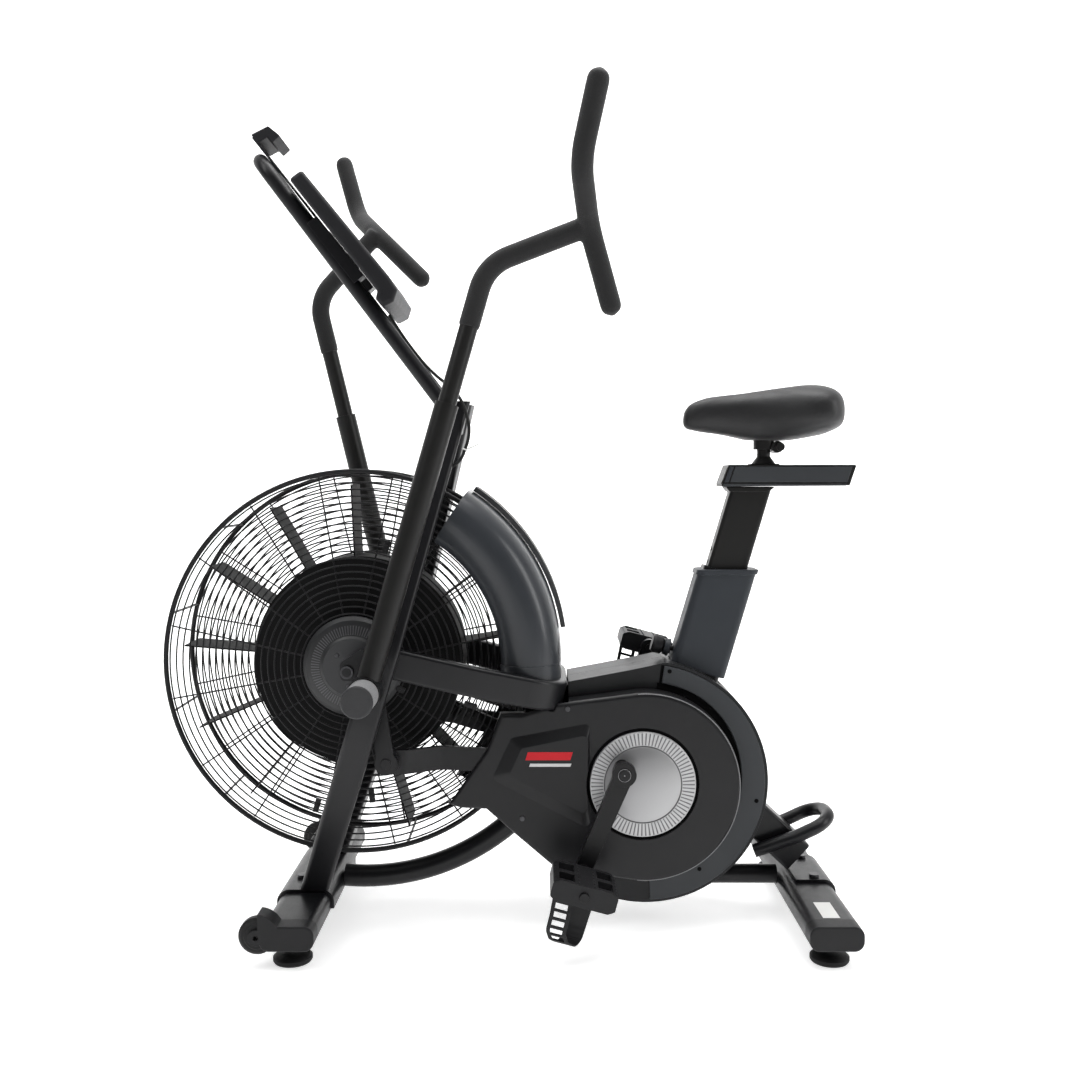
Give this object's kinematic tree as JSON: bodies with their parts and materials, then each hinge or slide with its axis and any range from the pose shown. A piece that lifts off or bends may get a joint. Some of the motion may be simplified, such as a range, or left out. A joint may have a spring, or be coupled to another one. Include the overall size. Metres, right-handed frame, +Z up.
{
  "type": "air bike",
  "caption": "Fan-resistance exercise bike with a wire-guarded front fan, swinging hand levers, strapped pedals, a console on a sloping mast and an adjustable saddle on floor stabilisers.",
  "frame": {"origin": "on the floor, under the middle of the bike's bounding box, within 3 mm", "axes": "+X from the fan at the front towards the saddle, +Y to the rider's right, the side that carries the belt, +Z up"},
  "size_m": [1.1353, 0.669, 1.3586],
  "materials": {
    "frame_paint": "satin black powder coat",
    "post_paint": "satin black powder coat",
    "wire_paint": "black dipped wire",
    "fan_paint": "matt black sheet",
    "arm_paint": "gloss black",
    "rod_paint": "satin black",
    "shaft_steel": "turned steel",
    "screw_steel": "blackened steel",
    "bearing_steel": "ground steel",
    "cap_plastic": "fine grain",
    "hub_plastic": "satin",
    "shell_plastic": "satin, slightly blue grey",
    "vent_plastic": "fine mesh pattern",
    "face_plastic": "satin black",
    "band_plastic": "satin charcoal",
    "trim_silver": "silver paint with turned rings",
    "peg_plastic": "mid grey, grainy",
    "sleeve_plastic": "blue grey, fine grain",
    "housing_plastic": "fine grain",
    "screen_plastic": "polished",
    "button_rubber": "matt",
    "foam_rubber": "closed-cell foam",
    "strap_rubber": "moulded",
    "belt_rubber": "ribbed",
    "cable_rubber": "smooth jacket",
    "foot_rubber": "matt",
    "wheel_rubber": "matt",
    "pedal_plastic": "grained",
    "saddle_vinyl": "grained vinyl over foam",
    "tray_plastic": "grained"
  },
  "bodies": {
    "frame": {"front_stabiliser": "frame_paint", "rear_stabiliser": "frame_paint", "stabiliser_caps": "cap_plastic", "front_legs": "frame_paint", "rear_handle": "frame_paint", "fan_mount": "frame_paint", "yoke": "frame_paint", "lower_curved_tube": "frame_paint", "rear_frame": "frame_paint", "left_wire_guard": "wire_paint", "right_wire_guard": "wire_paint", "guard_hubs": "hub_plastic", "guard_rims": "wire_paint", "wind_guard": "shell_plastic", "vent_strip": "vent_plastic", "drive_belt": "belt_rubber", "crank_bearings": "bearing_steel", "face_covers": "face_plastic", "band_covers": "band_plastic", "trim_discs": "trim_silver", "foot_pegs": "peg_plastic", "fasteners": "screw_steel", "seat_cover": "sleeve_plastic", "mast": "frame_paint", "console_housing": "housing_plastic", "console_screen": "screen_plastic", "sensor_cable": "cable_rubber"},
    "fan": {"fan_rotor": "fan_paint", "fan_blades": "fan_paint"},
    "crank": {"crankshaft": "shaft_steel", "left_crank": "arm_paint", "right_crank": "arm_paint"},
    "left_pedal": {"left_pedal": "pedal_plastic", "left_toe_strap": "strap_rubber"},
    "right_pedal": {"right_pedal": "pedal_plastic", "right_toe_strap": "strap_rubber"},
    "left_lever": {"left_lever_pole": "post_paint", "left_grip_foam": "foam_rubber", "left_bell_crank": "rod_paint"},
    "right_lever": {"right_lever_pole": "post_paint", "right_grip_foam": "foam_rubber", "right_bell_crank": "rod_paint"},
    "left_push_rod": {"left_push_rod": "rod_paint"},
    "right_push_rod": {"right_push_rod": "rod_paint"},
    "seat": {"seat_post": "post_paint", "saddle_rail": "post_paint"},
    "saddle": {"saddle_stem": "post_paint", "saddle_base": "tray_plastic", "saddle": "saddle_vinyl"},
    "height_knob": {"height_knob": "cap_plastic"},
    "left_wheel": {"left_wheel": "wheel_rubber"},
    "right_wheel": {"right_wheel": "wheel_rubber"},
    "front_left_foot": {"front_left_foot": "foot_rubber"},
    "front_right_foot": {"front_right_foot": "foot_rubber"},
    "rear_left_foot": {"rear_left_foot": "foot_rubber"},
    "rear_right_foot": {"rear_right_foot": "foot_rubber"},
    "console_button_1": {"console_button_1": "button_rubber"},
    "console_button_2": {"console_button_2": "button_rubber"},
    "console_button_3": {"console_button_3": "button_rubber"},
    "tablet_clamp": {"tablet_clamp": "housing_plastic"}
  },
  "joints": [
    {"name": "crank_spin", "type": "hinge", "parent": "frame", "child": "crank", "pos_m": [0.1755, 0, 0.274], "axis": [0, 1, 0], "continuous": true},
    {"name": "fan_spin", "type": "hinge", "parent": "frame", "child": "fan", "pos_m": [-0.255, 0, 0.438], "axis": [0, 1, 0], "continuous": true},
    {"name": "left_pedal_spin", "type": "hinge", "parent": "crank", "child": "left_pedal", "pos_m": [0.10908, -0.211, 0.11751], "axis": [0, 1, 0], "continuous": true},
    {"name": "right_pedal_spin", "type": "hinge", "parent": "crank", "child": "right_pedal", "pos_m": [0.24192, 0.211, 0.43049], "axis": [0, 1, 0], "continuous": true},
    {"name": "left_lever_swing", "type": "hinge", "parent": "frame", "child": "left_lever", "pos_m": [-0.217, -0.23, 0.419], "axis": [0, 1, 0], "range_deg": [-28.7, 0]},
    {"name": "right_lever_swing", "type": "hinge", "parent": "frame", "child": "right_lever", "pos_m": [-0.217, 0.23, 0.419], "axis": [0, 1, 0], "range_deg": [0, 28.7]},
    {"name": "left_rod_pivot", "type": "hinge", "parent": "left_lever", "child": "left_push_rod", "pos_m": [-0.19703, -0.136, 0.29196], "axis": [0, 1, 0], "range_deg": [0, 33]},
    {"name": "right_rod_pivot", "type": "hinge", "parent": "right_lever", "child": "right_push_rod", "pos_m": [-0.13848, 0.136, 0.31716], "axis": [0, 1, 0], "range_deg": [-33, 0]},
    {"name": "seat_height", "type": "slide", "parent": "frame", "child": "seat", "axis": [0.279, 0, 0.9603], "range_m": [-0.1, 0.1]},
    {"name": "saddle_reach", "type": "slide", "parent": "seat", "child": "saddle", "axis": [1, 0, 0], "range_m": [-0.015, 0.09]},
    {"name": "height_knob_pull", "type": "slide", "parent": "frame", "child": "height_knob", "axis": [-0.9603, 0, 0.279], "range_m": [0, 0.012], "stiffness_N_per_m": 900, "springref_m": -0.006},
    {"name": "left_wheel_spin", "type": "hinge", "parent": "frame", "child": "left_wheel", "pos_m": [-0.3805, -0.235, 0.053], "axis": [0, 1, 0], "continuous": true},
    {"name": "right_wheel_spin", "type": "hinge", "parent": "frame", "child": "right_wheel", "pos_m": [-0.3805, 0.235, 0.053], "axis": [0, 1, 0], "continuous": true},
    {"name": "front_left_foot_turn", "type": "hinge", "parent": "frame", "child": "front_left_foot", "pos_m": [-0.335, -0.203, 0.02], "axis": [0, 0, 1], "continuous": true},
    {"name": "front_right_foot_turn", "type": "hinge", "parent": "frame", "child": "front_right_foot", "pos_m": [-0.335, 0.203, 0.02], "axis": [0, 0, 1], "continuous": true},
    {"name": "rear_left_foot_turn", "type": "hinge", "parent": "frame", "child": "rear_left_foot", "pos_m": [0.487, -0.203, 0.02], "axis": [0, 0, 1], "continuous": true},
    {"name": "rear_right_foot_turn", "type": "hinge", "parent": "frame", "child": "rear_right_foot", "pos_m": [0.487, 0.203, 0.02], "axis": [0, 0, 1], "continuous": true},
    {"name": "button_1_press", "type": "slide", "parent": "frame", "child": "console_button_1", "axis": [-0.7852, 0, -0.6192], "range_m": [0, 0.0015], "stiffness_N_per_m": 600, "springref_m": -0.0008},
    {"name": "button_2_press", "type": "slide", "parent": "frame", "child": "console_button_2", "axis": [-0.7852, 0, -0.6192], "range_m": [0, 0.0015], "stiffness_N_per_m": 600, "springref_m": -0.0008},
    {"name": "button_3_press", "type": "slide", "parent": "frame", "child": "console_button_3", "axis": [-0.7852, 0, -0.6192], "range_m": [0, 0.0015], "stiffness_N_per_m": 600, "springref_m": -0.0008},
    {"name": "tablet_clamp_lift", "type": "slide", "parent": "frame", "child": "tablet_clamp", "axis": [-0.6192, 0, 0.7852], "range_m": [0, 0.05], "stiffness_N_per_m": 260, "springref_m": -0.03}
  ],
  "couplings": [
    {"joint": "fan_spin", "follows": "crank_spin", "ratio": 3.2},
    {"joint": "right_lever_swing", "follows": "left_lever_swing", "ratio": -1},
    {"joint": "left_rod_pivot", "follows": "left_lever_swing", "ratio": -1.146},
    {"joint": "right_rod_pivot", "follows": "left_lever_swing", "ratio": 1.146}
  ]
}
